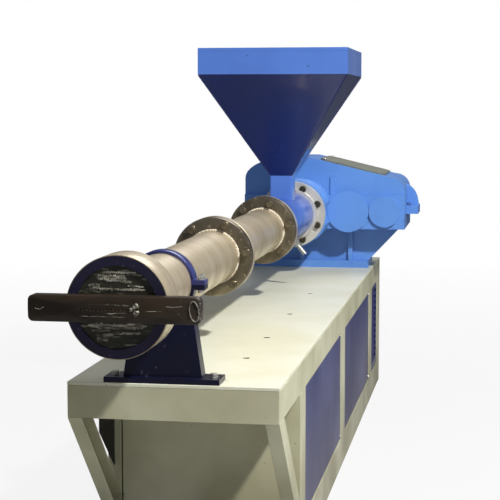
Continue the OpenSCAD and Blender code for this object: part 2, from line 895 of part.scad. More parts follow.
// Bearing caps: two on the front pads and three on the rear ones
module bearing_caps() {
    y = gear_y + gear_l;
    color("cornflowerblue") placed() {
        axis_bar(cap_2_d, gear_y - cap_t, gear_y, barrel_x + shaft_2);
        axis_bar(cap_3_d, gear_y - cap_t, gear_y, barrel_x + shaft_3);
        axis_bar(cap_2_d, y, y + cap_t, barrel_x);
        axis_bar(cap_2_d, y, y + cap_t, barrel_x + shaft_2);
        difference() {
            axis_bar(cap_3_d, y, y + cap_t, barrel_x + shaft_3);
            axis_bar(input_collar_d + 2 * seat_gap, y - 1, y + cap_t + 1, barrel_x + shaft_3);
        }
    }
}

// Cover on the sloping top of the upper housing
module inspection_cover() {
    run = (cover_end - peak_right) / cos(cover_angle);
    cover_l = run - 1.5 * cover_edge;
    cover_w = gear_l - 2 * pad_out - cover_edge;
    notch = cover_edge / 2;
    color("darkgray") placed() translate([peak_right, gear_mid_y, gear_top_z])
        rotate([0, cover_angle, 0]) translate([cover_edge, -cover_w / 2, 0]) linear_extrude(cover_t)
            polygon([
                [notch, 0], [cover_l - notch, 0], [cover_l, notch], [cover_l, cover_w - notch],
                [cover_l - notch, cover_w], [notch, cover_w], [0, cover_w - notch], [0, notch]
            ]);
}

module input_shaft() {
    y = gear_y + gear_l;
    color("silver") placed() {
        axis_bar(input_collar_d, y, y + cap_t, barrel_x + shaft_3);
        axis_bar(input_d, y + cap_t, y + cap_t + input_l, barrel_x + shaft_3);
    }
}

table_top();
front_rail();
rear_beams();
side_rail_left();
side_rail_right();
posts_left();
posts_right();
raked_leg_left();
raked_leg_right();
base_rail_left();
base_rail_right();
front_kick_plate();
cross_members();
anchor_plates();
front_panel();
rear_panel();
side_panels_left();
side_panels_right();
louvre_panel_left();
louvre_panel_right();
pedestal();
clamp_cap();
head_body();
head_ring();
die_disc();
die_bar();
barrel_front();
flange_1_front();
flange_1_rear();
barrel_middle();
flange_2_front();
flange_2_rear();
feed_section();
feed_screw();
water_nipple();
hopper_neck();
hopper_cone();
hopper_rim();
hopper_lip();
gearbox_flange();
gearbox_lower();
gearbox_upper();
bearing_caps();
inspection_cover();
input_shaft();
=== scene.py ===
import math
import bmesh
import bpy
import numpy as np
from mathutils import Matrix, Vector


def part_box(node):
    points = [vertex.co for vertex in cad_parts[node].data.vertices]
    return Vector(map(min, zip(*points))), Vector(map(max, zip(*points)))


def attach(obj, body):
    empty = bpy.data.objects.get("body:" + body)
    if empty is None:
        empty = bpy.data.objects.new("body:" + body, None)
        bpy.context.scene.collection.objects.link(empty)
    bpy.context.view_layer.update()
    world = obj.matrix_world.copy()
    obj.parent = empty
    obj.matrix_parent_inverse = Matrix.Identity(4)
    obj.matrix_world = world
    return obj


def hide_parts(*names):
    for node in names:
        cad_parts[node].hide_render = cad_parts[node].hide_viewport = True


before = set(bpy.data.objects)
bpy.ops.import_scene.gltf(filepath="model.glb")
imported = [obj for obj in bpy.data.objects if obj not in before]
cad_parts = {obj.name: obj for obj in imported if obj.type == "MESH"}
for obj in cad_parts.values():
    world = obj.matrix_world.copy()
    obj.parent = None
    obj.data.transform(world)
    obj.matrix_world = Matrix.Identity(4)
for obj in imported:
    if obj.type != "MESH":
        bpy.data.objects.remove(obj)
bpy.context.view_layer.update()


# Table plate, rails and posts: rolled plate and channel, cut and stitch welded into one
# frame, four round holes drilled through the plate. The cream enamel was sprayed on
# after welding; it has yellowed in patches and is dirtiest down at the floor.
def tint(red, green, blue):
    """Scene colour of an sRGB triple: ((value / 255 + 0.055) / 1.055) ^ 2.4."""
    part = (np.array([red, green, blue]) / 255.0 + 0.055) / 1.055
    return (*(part ** 2.4), 1.0)


def finish(name, base, aged, specks, rough, metal=0.0, patch=3.0, fine=70.0, amount=0.6,
           speck_from=0.66, stretch=(1.0, 1.0, 1.0), bump=0.12, coat=0.0, low_dirt_and_reflection=0.0,
           dirt_and_reflection_top=0.4, specular=0.5):
    """Surface from Object coordinates. Broad noise fades base into aged, fine noise above
    speck_from leaves specks, height below a top height blends towards the specks colour, which paints
    floor dirt on some materials and a painted reflection of the floor on others, and the broad noise
    moves the roughness by the swing either way."""
    swing = 0.08
    material = bpy.data.materials.new(name)
    material.use_nodes = True
    nodes = material.node_tree.nodes
    link = material.node_tree.links.new
    shader = nodes["Principled BSDF"]
    place = nodes.new("ShaderNodeTexCoord")
    mapping = nodes.new("ShaderNodeMapping")
    mapping.inputs["Scale"].default_value = stretch
    link(place.outputs["Object"], mapping.inputs["Vector"])

    def noise(scale, detail):
        node = nodes.new("ShaderNodeTexNoise")
        node.inputs["Scale"].default_value = scale
        node.inputs["Detail"].default_value = detail
        link(mapping.outputs["Vector"], node.inputs["Vector"])
        return node.outputs[0]

    def ramp(value, low, high, to_low, to_high):
        node = nodes.new("ShaderNodeMapRange")
        node.inputs["From Min"].default_value = low
        node.inputs["From Max"].default_value = high
        node.inputs["To Min"].default_value = to_low
        node.inputs["To Max"].default_value = to_high
        link(value, node.inputs["Value"])
        return node.outputs["Result"]

    def blend(factor, first, second):
        node = nodes.new("ShaderNodeMix")
        node.data_type = "RGBA"
        link(factor, node.inputs[0])
        for socket, colour in ((node.inputs[6], first), (node.inputs[7], second)):
            if isinstance(colour, tuple):
                socket.default_value = colour
            else:
                link(colour, socket)
        return node.outputs[2]

    broad = noise(patch, 6.0)
    small = noise(fine, 4.0)
    colour = blend(ramp(broad, 0.38, 0.66, 0.0, amount), base, aged)
    colour = blend(ramp(small, speck_from, speck_from + 0.06, 0.0, 0.8), colour, specks)
    if low_dirt_and_reflection:
        split = nodes.new("ShaderNodeSeparateXYZ")
        link(place.outputs["Object"], split.inputs["Vector"])
        height = ramp(split.outputs["Z"], 0.0, dirt_and_reflection_top, low_dirt_and_reflection, 0.0)
        product = nodes.new("ShaderNodeMath")
        product.operation = "MULTIPLY"
        link(height, product.inputs[0])
        link(ramp(broad, 0.3, 0.6, 0.4, 1.0), product.inputs[1])
        colour = blend(product.outputs["Value"], colour, specks)
    link(colour, shader.inputs["Base Color"])
    link(ramp(broad, 0.3, 0.7, rough - swing, rough + swing), shader.inputs["Roughness"])
    relief = nodes.new("ShaderNodeBump")
    relief.inputs["Strength"].default_value = bump
    relief.inputs["Distance"].default_value = 0.002
    link(small, relief.inputs["Height"])
    link(relief.outputs["Normal"], shader.inputs["Normal"])
    shader.inputs["Metallic"].default_value = metal
    shader.inputs["Specular IOR Level"].default_value = specular
    shader.inputs["Coat Weight"].default_value = coat
    shader.inputs["Coat Roughness"].default_value = 0.12
    return material


def wear(material, *names):
    """These CAD nodes take the material in every slot."""
    for name in names:
        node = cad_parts[name]
        if not node.material_slots:
            node.data.materials.append(material)
        for place in node.material_slots:
            place.material = material


def soften(width, *names):
    """Worn edges: corners over 35 degrees of these CAD nodes are rounded to this width in metres."""
    for name in names:
        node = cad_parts[name]
        join = node.modifiers.new("join", "WELD")
        join.merge_threshold = 0.00001
        edge = node.modifiers.new("edge", "BEVEL")
        edge.width = width
        edge.segments = 2
        edge.limit_method = "ANGLE"
        edge.angle_limit = math.radians(35)
        edge.harden_normals = True


# One cream enamel in two copies: a lighter one on the plate as painted light on its top, and a darker one on
# the frame as painted shade on its upright faces; the frame's copy also carries the floor dirt.
cream_lit_top = finish("cream_lit_top", tint(226, 225, 205), tint(204, 200, 170), tint(96, 86, 66), 0.42,
                   patch=2.2, fine=45.0, amount=0.7, speck_from=0.72, bump=0.06)
cream_shaded_frame = finish("cream_shaded_frame", tint(200, 198, 168), tint(168, 164, 132), tint(92, 82, 62), 0.45,
                     patch=2.6, fine=60.0, amount=0.9, speck_from=0.72, bump=0.08, low_dirt_and_reflection=0.55)
wear(cream_shaded_frame, "front_rail", "rear_beams", "side_rail_left", "side_rail_right", "posts_left",
     "posts_right", "raked_leg_left", "raked_leg_right", "base_rail_left", "base_rail_right",
     "cross_members", "anchor_plates", "front_kick_plate", "front_panel")
soften(0.003, "front_rail", "side_rail_left", "side_rail_right", "posts_left",
       "posts_right", "raked_leg_left", "raked_leg_right", "base_rail_left", "base_rail_right")

plate_low, plate_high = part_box("table_top")
corner = np.array((plate_low[0], plate_low[1], plate_high[2]))


def at(x, y, z):
    """Point that many millimetres right of, behind and above the table's near left corner."""
    return corner + np.array((x, y, z), float) / 1000.0


def piece(name, grids, material, around=True, sharp=38.0, instead=None):
    """Mesh of one or more grids of points, each shaped (rows, columns, 3). Four neighbours make
    a face, the last column joins the first if around is true, and equal points merge. The
    piece rides on the root and stands for the CAD node named instead."""
    if isinstance(grids, np.ndarray) and grids.ndim == 3:
        grids = [grids]
    around = [around] * len(grids) if isinstance(around, bool) else around
    points = []
    faces = []
    start = 0
    for grid, closed in zip(grids, around):
        rows, columns = grid.shape[:2]
        index = start + np.arange(rows * columns).reshape(rows, columns)
        after = np.roll(index, -1, axis=1)
        last = columns if closed else columns - 1
        faces.append(np.stack([index[:-1, :last], after[:-1, :last],
                               after[1:, :last], index[1:, :last]], -1).reshape(-1, 4))
        points.append(np.reshape(grid, (-1, 3)))
        start += rows * columns
    mesh = bpy.data.meshes.new(name)
    mesh.from_pydata(np.concatenate(points).tolist(), [], np.concatenate(faces).tolist())
    work = bmesh.new()
    work.from_mesh(mesh)
    bmesh.ops.remove_doubles(work, verts=work.verts, dist=0.000002)
    bmesh.ops.recalc_face_normals(work, faces=work.faces)
    work.to_mesh(mesh)
    work.free()
    mesh.shade_smooth()
    mesh.set_sharp_from_angle(angle=math.radians(sharp))
    mesh.materials.append(material)
    made = bpy.data.objects.new(name, mesh)
    bpy.context.scene.collection.objects.link(made)
    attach(made, "root")
    if instead:
        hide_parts(instead)


chance = np.random.default_rng(5)


def bead(path, radius, closed=False, lean=(0.0, 1.0, 0.0), ripple=0.16, pitch=0.006):
    """Weld bead along a path: rings of radius * (1 + ripple * sin(2 pi s / pitch + w)) square to
    it, s being the length so far and w a random walk. An open path ends in a point."""
    path = np.asarray(path, float)
    if closed:
        tangent = np.roll(path, -1, axis=0) - np.roll(path, 1, axis=0)
    else:
        tangent = np.gradient(path, axis=0)
    tangent /= np.linalg.norm(tangent, axis=1)[:, None]
    side = np.cross(tangent, np.array(lean))
    side /= np.linalg.norm(side, axis=1)[:, None]
    up = np.cross(side, tangent)
    step = np.linalg.norm(np.diff(path, axis=0), axis=1)
    along = np.concatenate([[0.0], np.cumsum(step)])
    walk = np.cumsum(chance.normal(0, 0.5, len(path)))
    walk -= walk[-1] * np.linspace(0, 1, len(path))
    size = radius * (1.0 + ripple * np.sin(2 * np.pi * along / pitch + walk))
    if not closed:
        size = size * np.minimum(1.0, np.minimum(along, along[-1] - along) / (2.0 * radius)) ** 0.5
    angle = np.arange(8) * np.pi / 4
    ring = np.cos(angle)[None, :, None] * side[:, None] + np.sin(angle)[None, :, None] * up[:, None]
    grid = path[:, None] + size[:, None, None] * ring
    if closed:
        grid = np.concatenate([grid, grid[:1]])
    return grid


def straight(start, end, gap=0.0015):
    """Points every gap metres from start to end."""
    start = np.asarray(start, float)
    end = np.asarray(end, float)
    count = max(3, int(np.linalg.norm(end - start) / gap))
    return start + (end - start) * np.linspace(0, 1, count)[:, None]


plate_w, plate_l, plate_t = (np.array(plate_high) - np.array(plate_low)) * 1000
stitch_l = 70
stitch_r = 0.0022
stitch_starts = range(120, 4000, 310)
for side_name, x in (("left", 0.0), ("right", plate_w)):
    stitches = [bead(straight(at(x, y, -plate_t), at(x, y + stitch_l, -plate_t)), stitch_r,
                     lean=(0, 0, 1)) for y in stitch_starts]
    piece("stitch_welds_" + side_name, stitches, cream_shaded_frame)


def square_of(half, count):
    """Points on a square of that half width, count to a side, from its near left corner."""
    run = np.linspace(-half, half, count + 1)[:-1]
    edge = np.full(count, half)
    return np.concatenate([np.stack([run, -edge], 1), np.stack([edge, run], 1),
                           np.stack([-run, edge], 1), np.stack([-edge, -run], 1)])


def level(x, y, z):
    """Grid of points over the arrays x and y at height z, millimetres from the corner."""
    x, y = np.meshgrid(np.asarray(x, float), np.asarray(y, float), indexing="ij")
    return corner + np.stack([x, y, np.full(x.shape, float(z))], -1) / 1000.0


def plate_rings(rings):
    """Grid of closed loops, each (points of x and y, height z), millimetres from the corner."""
    return corner + np.array([np.column_stack([loop, np.full(len(loop), float(z))])
                              for loop, z in rings]) / 1000.0


hole_x = 502.0
hole_y = np.array((532.0, 1000.0, 1650.0, 2352.0))
hole_r = 13.5
lip_r = 14.3
lip_t = 0.8
half_cell = 42.0
plate_edge = 1.5
far_x = plate_w - plate_edge
far_y = plate_l - plate_edge
cell_x = hole_x + np.linspace(-half_cell, half_cell, 5)
cell_y = (hole_y[:, None] + np.linspace(-half_cell, half_cell, 5)).ravel()
along_x = np.concatenate([[plate_edge], cell_x, [far_x]])
along_y = np.concatenate([[plate_edge], cell_y, [far_y]])
cell_ends = np.stack([hole_y - half_cell, hole_y + half_cell], 1).ravel()
between = np.concatenate([[plate_edge], cell_ends, [far_y]]).reshape(-1, 2)
skins = []
for z in (0.0, -plate_t):
    skins.append(level([plate_edge, cell_x[0]], along_y, z))
    skins.append(level([cell_x[-1], far_x], along_y, z))
    skins += [level(cell_x, pair, z) for pair in between]
open_skins = len(skins)
cell = square_of(half_cell, 4)
disc = cell / np.linalg.norm(cell, axis=1)[:, None]
for y in hole_y:
    skins.append(plate_rings([(ring + (hole_x, y), z) for ring, z in (
        (cell, 0.0), (disc * lip_r, 0.0), (disc * hole_r, -lip_t), (disc * hole_r, -plate_t),
        (cell, -plate_t))]))
loop = np.concatenate([np.stack([along_x, np.full_like(along_x, plate_edge)], 1)[:-1],
                       np.stack([np.full_like(along_y, far_x), along_y], 1)[:-1],
                       np.stack([along_x, np.full_like(along_x, far_y)], 1)[:0:-1],
                       np.stack([np.full_like(along_y, plate_edge), along_y], 1)[:0:-1]])
centre = np.array((plate_w / 2, plate_l / 2))
on_edge = np.abs(np.abs(loop - centre) - (centre - plate_edge)) < 0.01
outside = loop + plate_edge * np.sign(loop - centre) * on_edge
skins.append(plate_rings([(loop, 0.0), (outside, -plate_edge), (outside, plate_edge - plate_t),
                          (loop, -plate_t)]))
closed_skins = [number >= open_skins for number in range(len(skins))]
piece("table_plate", skins, cream_lit_top, closed_skins, 28.0, "table_top")

# A dark cup hangs in each hole as painted shade, so that the hole looks dark from above.
painted_shade_black = finish("painted_shade_black", tint(34, 31, 26), tint(22, 20, 18), tint(60, 54, 44), 0.7,
                    patch=20.0, fine=90.0)
cup_r = 13.3
cup_bore = 11.8
cup_top = -1.0
cup_inside = -42.0
cup_bottom = -44.0
cup = [(cup_r, cup_top), (cup_r, cup_bottom), (0.0, cup_bottom), (0.0, cup_inside),
       (cup_bore, cup_inside), (cup_bore, cup_top), (cup_r, cup_top)]
cups = [plate_rings([(disc * radius + (hole_x, y), z) for radius, z in cup]) for y in hole_y]
piece("plate_hole_shade_cups", cups, painted_shade_black)


# Side and rear panels: folded sheet steel in glossy blue enamel, screwed to the posts
# from outside; the side panels show a plated pan head screw at each corner. A dark cut
# sheet stands inside the table, behind its raked left leg, as painted shade of its inside.
# The panels' lower part blends into the grey purple specks colour as a painted reflection of the floor.
panel_blue = finish("panel_blue", tint(16, 32, 112), tint(18, 30, 88), tint(60, 54, 84), 0.34,
                    patch=1.6, fine=50.0, amount=0.7, speck_from=0.74, bump=0.03,
                    low_dirt_and_reflection=1.0, dirt_and_reflection_top=0.72, specular=0.25)
wear(panel_blue, "rear_panel", "side_panels_left", "side_panels_right",
     "louvre_panel_left", "louvre_panel_right")
plated = finish("plated_steel", tint(205, 205, 198), tint(160, 158, 150), tint(80, 72, 60), 0.32,
                metal=0.85, patch=30.0, fine=160.0, amount=0.6, speck_from=0.64)


def turned(rows, centres, axis, sides=24):
    """Rings round an axis at each centre: centre + axis * height + radius * k * (side cos a +
    up sin a). Rows are (radius, height, flat): k is 1 for flat 0, and for flat 1 it is
    1 / cos(mod(a, 60) - 30), which gives a hexagon."""
    rows = np.asarray(rows, float)
    centres = np.atleast_2d(np.asarray(centres, float))
    axis = np.asarray(axis, float) / np.linalg.norm(axis)
    other = np.array((0.0, 0.0, 1.0)) if abs(axis[2]) < 0.9 else np.array((1.0, 0.0, 0.0))
    side = np.cross(other, axis)
    side /= np.linalg.norm(side)
    up = np.cross(axis, side)
    angle = np.arange(sides) * 2 * np.pi / sides
    flat = 1.0 / np.cos(np.mod(angle, np.pi / 3) - np.pi / 6)
    k = 1.0 + rows[:, 2:3] * (flat - 1.0)
    ring = np.cos(angle)[:, None] * side + np.sin(angle)[:, None] * up
    shape = (rows[:, 0:1] * k)[..., None] * ring + rows[:, 1][:, None, None] * axis
    return centres[:, None, None, :] + shape


def pan_head(radius, height):
    """Rows of a domed head with a hexagon recess, standing on height 0."""
    recess = radius * 0.38
    return [(0, -0.001, 0), (radius, -0.001, 0), (radius, height * 0.35, 0),
            (radius * 0.86, height * 0.75, 0), (radius * 0.6, height, 0), (recess, height, 1),
            (recess, height * 0.4, 1), (0, height * 0.4, 0)]


# Corners of the dark sheet of painted shade as (y, z), and its two sides, metres from the table's corner.
sheet = np.array([(0.300, -0.122), (0.498, -0.122), (0.498, -0.400), (0.300, -0.235)])
sheet_left = 0.022
sheet_right = 0.025
sheet_middle = sheet.mean(axis=0)
sheet_rings = [np.column_stack([np.full(len(sheet), x), sheet_middle + (sheet - sheet_middle) * size])
               for x, size in ((sheet_left, 0.0), (sheet_left, 1.0), (sheet_right, 1.0), (sheet_right, 0.0))]
piece("inner_shade_sheet_left", corner + np.array(sheet_rings), painted_shade_black)
panel_ends = ((650, 1920), (2070, 3400))
screw_y = 2
screw_z = 0.014
for side_name, way in (("left", -1), ("right", 1)):
    low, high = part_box("side_panels_" + side_name)
    face = high[0] if way > 0 else low[0]
    heads = [(face, at(0, y, 0)[1], z) for near, far in panel_ends
             for y in (near + screw_y, far - screw_y) for z in (low[2] + screw_z, high[2] - screw_z)]
    piece("panel_screws_" + side_name, turned(pan_head(0.0075, 0.005), heads, (way, 0, 0)),
          plated)


# Pedestal and clamp: a navy web on a foot plate carries the lower half of the clamp
# ring; the upper half is bolted down on it with hexagon bolts through the lugs.
navy = finish("pedestal_navy", tint(15, 17, 48), tint(12, 13, 32), tint(70, 66, 78), 0.3,
              patch=5.0, fine=60.0, amount=0.8, coat=0.1, specular=0.25)
# The clamp's blue is darkened to the colour of its shaded front face, as painted shade.
clamp_blue = finish("clamp_blue", tint(40, 46, 104), tint(28, 32, 72), tint(30, 28, 34), 0.35,
                    patch=6.0, fine=60.0, coat=0.3)
wear(navy, "pedestal")
wear(clamp_blue, "clamp_cap")
soften(0.002, "pedestal", "clamp_cap")


def hex_bolt(flats, height, stud=0.0):
    """Rows of a hexagon head or nut, flats being the width across them, with a washer below
    and, if stud is above 0, the end of a bolt that far out of it."""
    half = flats / 2
    base = height * 0.22
    rows = [(0, -0.001, 0), (half * 1.22, -0.001, 0), (half * 1.22, base * 0.8, 0),
            (half * 1.16, base, 0), (half, base, 1), (half, base + height * 0.84, 1),
            (half * 0.97, base + height, 0)]
    if stud:
        rows += [(half * 0.56, base + height, 0), (half * 0.56, base + height + stud * 0.8, 0),
                 (half * 0.46, base + height + stud, 0)]
    rows.append((0, base + height + stud, 0))
    return rows


low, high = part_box("pedestal")
cap_low, cap_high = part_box("clamp_cap")
axis_x = (cap_low[0] + cap_high[0]) / 2
axis_z = cap_low[2]
foot_t = 0.018
foot_bolt_x = 0.028
foot_bolt_y = 0.059
foot = [(x, plate_low[1] + foot_bolt_y, plate_high[2] + foot_t)
        for x in (low[0] + foot_bolt_x, high[0] - foot_bolt_x)]
piece("foot_bolts", turned(hex_bolt(0.024, 0.010), foot, (0, 0, 1)), plated)
clamp_y = (cap_low[1] + cap_high[1]) / 2
lug_t = 0.016
lug_bolt_x = 0.016
lug_bolt_y = 0.014
lugs = [(x, clamp_y + y, axis_z + lug_t) for x in (cap_low[0] + lug_bolt_x, cap_high[0] - lug_bolt_x)
        for y in (-lug_bolt_y, lug_bolt_y)]
piece("clamp_bolts", turned(hex_bolt(0.016, 0.010, stud=0.004), lugs, (0, 0, 1)), plated)
under_lugs = [(x, y, axis_z - lug_t) for x, y, z in lugs]
piece("clamp_nuts", turned(hex_bolt(0.016, 0.008), under_lugs, (0, 0, -1)), plated)


# Head and strand die: a turned head with a dark retaining ring, a disc scorched by
# burnt plastic and a flat die bar fastened across it, drilled with a row of strand
# holes. Films and drops of old plastic stick to the disc and the bar.
turned_steel = finish("turned_steel", tint(212, 198, 170), tint(158, 140, 110), tint(92, 78, 56), 0.38,
                      metal=0.62, patch=4.0, fine=30.0, amount=0.7, speck_from=0.74,
                      stretch=(1.0, 2.2, 1.0), bump=0.04)
ring_dark = finish("ring_dark", tint(45, 42, 72), tint(34, 30, 44), tint(96, 92, 110), 0.4,
                   metal=0.3, patch=12.0, fine=70.0)
die_dark = finish("die_dark", tint(62, 50, 38), tint(36, 30, 24), tint(124, 114, 92), 0.42,
                  metal=0.4, patch=16.0, fine=120.0, amount=0.9, speck_from=0.72,
                  stretch=(0.5, 1.0, 1.6), bump=0.25)
residue = finish("old_plastic", tint(204, 200, 182), tint(120, 114, 96), tint(56, 52, 42), 0.5,
                 patch=50.0, fine=120.0, amount=0.9, speck_from=0.5, stretch=(0.3, 1.0, 1.6))
scorched = finish("scorched_disc", tint(64, 62, 50), tint(34, 32, 27), tint(140, 137, 120), 0.42,
                  metal=0.3, patch=22.0, fine=80.0, amount=0.9, speck_from=0.6,
                  stretch=(0.25, 1.0, 1.5), bump=0.5)
wear(turned_steel, "head_body", "barrel_front", "flange_1_rear", "barrel_middle", "flange_2_rear")
wear(ring_dark, "head_ring")
wear(scorched, "die_disc")
soften(0.0015, "head_body")

disc_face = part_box("die_disc")[0][1]
bar_low, bar_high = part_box("die_bar")


def rounded(half_x, half_y, radius, count_x, count_y):
    """Loop of a rectangle with round corners: points at half * sin(pi t / 2) along each side,
    and those beyond a corner's centre are moved radially to its arc."""
    run_x = half_x * np.sin(np.linspace(-1, 1, count_x + 1) * np.pi / 2)[:-1]
    run_y = half_y * np.sin(np.linspace(-1, 1, count_y + 1) * np.pi / 2)[:-1]
    loop = np.concatenate([np.stack([run_x, np.full(count_x, -half_y)], 1),
                           np.stack([np.full(count_y, half_x), run_y], 1),
                           np.stack([-run_x, np.full(count_x, half_y)], 1),
                           np.stack([np.full(count_y, -half_x), -run_y], 1)])
    centre = np.sign(loop) * (np.array((half_x, half_y)) - radius)
    away = loop - centre
    beyond = np.all(away * np.sign(loop) > 0, axis=1)
    arc = centre + radius * away / np.maximum(np.linalg.norm(away, axis=1), 1e-9)[:, None]
    return np.where(beyond[:, None], arc, loop)


bar_x = (bar_low[0] + bar_high[0]) / 2
bar_z = (bar_low[2] + bar_high[2]) / 2
bar_half = (bar_high[0] - bar_low[0]) / 2
bar_half_h = 0.038
bar_corner = 0.016
bar_edge = 0.002
set_back = 0.0048
bar_face = bar_low[1] + set_back
bar_t = bar_high[1] - bar_face
strand = 0.011
strands = 13
strand_r = 0.0022
strand_l = 0.012
sink_r = 0.0029
sink_l = 0.0008
row_x = -0.03


def on_bar(loop, depth):
    """A loop of (x, z) about the middle of the bar, that deep behind its front face."""
    return np.stack([bar_x + loop[:, 0], np.full(len(loop), bar_face + depth), bar_z + loop[:, 1]], 1)


cell = square_of(strand / 2, 4)
disc = cell / np.linalg.norm(cell, axis=1)[:, None]
bar_skins = []
for number in range(strands):
    shift = np.array(((number - (strands - 1) / 2) * strand + row_x, 0.0))
    bar_skins.append(np.array([on_bar(ring + shift, depth) for ring, depth in (
        (cell, 0.0), (disc * sink_r, 0.0), (disc * strand_r, sink_l), (disc * strand_r, strand_l),
        (disc * 0.0, strand_l))]))
run = np.linspace(-strands / 2, strands / 2, strands * 4 + 1)[:-1] * strand
step = np.linspace(-0.5, 0.5, 5)[:-1] * strand
ends = np.array((strands / 2, 0.5)) * strand
strip = np.concatenate([np.stack([run, np.full_like(run, -ends[1])], 1),
                        np.stack([np.full_like(step, ends[0]), step], 1),
                        np.stack([-run, np.full_like(run, ends[1])], 1),
                        np.stack([np.full_like(step, -ends[0]), -step], 1)]) + (row_x, 0.0)
small, full = [rounded(bar_half - inset, bar_half_h - inset, bar_corner - inset, strands * 4, 4)
               for inset in (bar_edge, 0.0)]
bar_skins.append(np.array([on_bar(strip, 0.0), on_bar(small, 0.0), on_bar(full, bar_edge),
                           on_bar(full, bar_t - bar_edge), on_bar(small, bar_t),
                           on_bar(small * 0.0, bar_t)]))
piece("strand_bar", bar_skins, die_dark, sharp=50.0, instead="die_bar")

# Bright edges at the right end of the bar, partly worn bare metal and partly a painted highlight: an oval
# recess and the outer corner.
worn_edge_and_highlight = finish("worn_edge_and_highlight", tint(176, 172, 158), tint(110, 104, 92), tint(50, 44, 36), 0.35,
                   metal=0.6, patch=40.0, fine=160.0, amount=0.8, speck_from=0.6)
bar_end = bar_x + bar_half
oval_x = 0.018
oval_w = 0.013
oval_h = 0.028
oval_skew = 0.003
angle = np.arange(90) * 2 * np.pi / 90
oval = np.stack([bar_end - oval_x - oval_w * np.cos(angle) - oval_skew * np.sin(angle),
                 np.full_like(angle, bar_face - 0.0002), bar_z + oval_h * np.sin(angle)], 1)
piece("bar_end_wear_and_highlight", bead(oval, 0.0016, True, ripple=0.4, pitch=0.02), worn_edge_and_highlight)
corner_in = 0.0015
corner_w = 0.001
corner_h = 0.026
angle = np.linspace(-0.62, 0.62, 60) * np.pi
corner_wear_and_highlight = np.stack([bar_end - corner_in - corner_w * np.cos(angle),
                        np.full_like(angle, bar_face + 0.0012), bar_z + corner_h * np.sin(angle / 1.3)], 1)
piece("bar_corner_wear_and_highlight", bead(corner_wear_and_highlight, 0.0012, ripple=0.4, pitch=0.013), worn_edge_and_highlight)


def smear(x0, x1, z, height, y, thick):
    """Ragged film of plastic on a plane facing -Y: a strip from x0 to x1 whose edges are z + w
    +- height / 2 * noise, w being a random walk, closed by a back face sunk in the plane."""
    count = 120
    fade = 8.0
    sunk = 0.0005
    x = np.linspace(x0, x1, count)
    walk = np.cumsum(chance.normal(0, 0.0002, count))
    taper = np.minimum(1.0, np.minimum(np.arange(count), np.arange(count)[::-1]) / fade)
    low_edge = z + walk - height / 2 * taper * chance.uniform(0.25, 1.0, count)
    high_edge = z + walk + height / 2 * taper * chance.uniform(0.25, 1.0, count)
    bulge = y - thick * (0.3 + chance.uniform(0.0, 1.0, count)) * taper
    back = np.full(count, y + sunk)
    corners = [(low_edge, back), (low_edge, bulge), (high_edge, bulge), (high_edge, back)]
    return np.stack([np.stack([x, depth, edge], -1) for edge, depth in corners], 1)


# Films as (left end, right end, height, width) and drops as (x, z), from the barrel's axis.
disc_films = (
    (-0.09, 0.085, 0.0515, 0.0095), (-0.06, 0.03, 0.083, 0.0209), (-0.035, 0.045, 0.076, 0.0114),
    (-0.088, 0.088, -0.052, 0.019), (-0.07, 0.075, -0.056, 0.0114), (-0.06, -0.025, -0.089, 0.0228),
    (-0.045, -0.01, -0.081, 0.0133), (0.0, 0.07, -0.074, 0.0076), (0.03, 0.08, 0.062, 0.0057),
    (-0.075, -0.02, -0.067, 0.0095), (-0.05, 0.06, 0.1, 0.0076), (-0.085, -0.05, 0.062, 0.0152))
bar_films = (
    (-0.02, 0.035, -0.012, 0.003), (0.055, 0.075, 0.010, 0.012), (0.058, 0.076, -0.009, 0.012),
    (0.09, 0.14, -0.004, 0.002), (-0.075, 0.05, 0.013, 0.0012), (-0.23, -0.2, 0.0, 0.0015),
    (0.15, 0.2, 0.012, 0.0012), (-0.1, 0.04, -0.02, 0.0012))
bar_drops = ((0.061, 0.008), (0.067, 0.014), (0.066, -0.012), (0.07, -0.007), (0.052, 0.002))
for piece_name, films, plane, thick in (("plastic_films", disc_films, disc_face, 0.0009),
                                        ("bar_films", bar_films, bar_face, 0.0006)):
    strips = [smear(axis_x + x0, axis_x + x1, axis_z + z, width, plane, thick)
              for x0, x1, z, width in films]
    piece(piece_name, strips, residue)
drops = [(axis_x + x, bar_face, axis_z + z) for x, z in bar_drops]
drop = [(0, -0.002, 0), (0.005, -0.001, 0), (0.0052, 0.001, 0), (0.0034, 0.0035, 0), (0, 0.0045, 0)]
piece("plastic_drops", turned(drop, drops, (0, -1, 0), 12), residue)


# Barrel and its flanges: thick turned tubes joined by two pairs of round flanges, which
# are welded on and held by six bolts a pair. The front flange of each pair is coloured
# darker than the rear one.
flange_dark = finish("flange_dark", tint(126, 116, 98), tint(86, 78, 64), tint(182, 170, 146), 0.36,
                     metal=0.8, patch=12.0, fine=50.0, amount=0.9, speck_from=0.62)
flange_bolt = finish("flange_bolt", tint(138, 128, 106), tint(92, 84, 68), tint(190, 180, 156), 0.34,
                     metal=0.8, patch=30.0, fine=120.0, amount=0.8)
weld_bright = finish("weld_bright", tint(226, 216, 196), tint(150, 134, 108), tint(96, 84, 64), 0.58,
                     metal=0.15, patch=40.0, fine=140.0)
tube_r = 0.0998
weld_r = 0.1015
extra_t = 0.016
front_round = 0.007
front_break = 0.002
rear_break = 0.004


def round_places(x, y, z, radius, count, first):
    """count points on a circle square to the Y axis, the first at that many degrees above +X."""
    angle = np.radians(first + np.arange(count) * 360.0 / count)
    return np.stack([x + radius * np.cos(angle), np.full(count, y), z + radius * np.sin(angle)], -1)


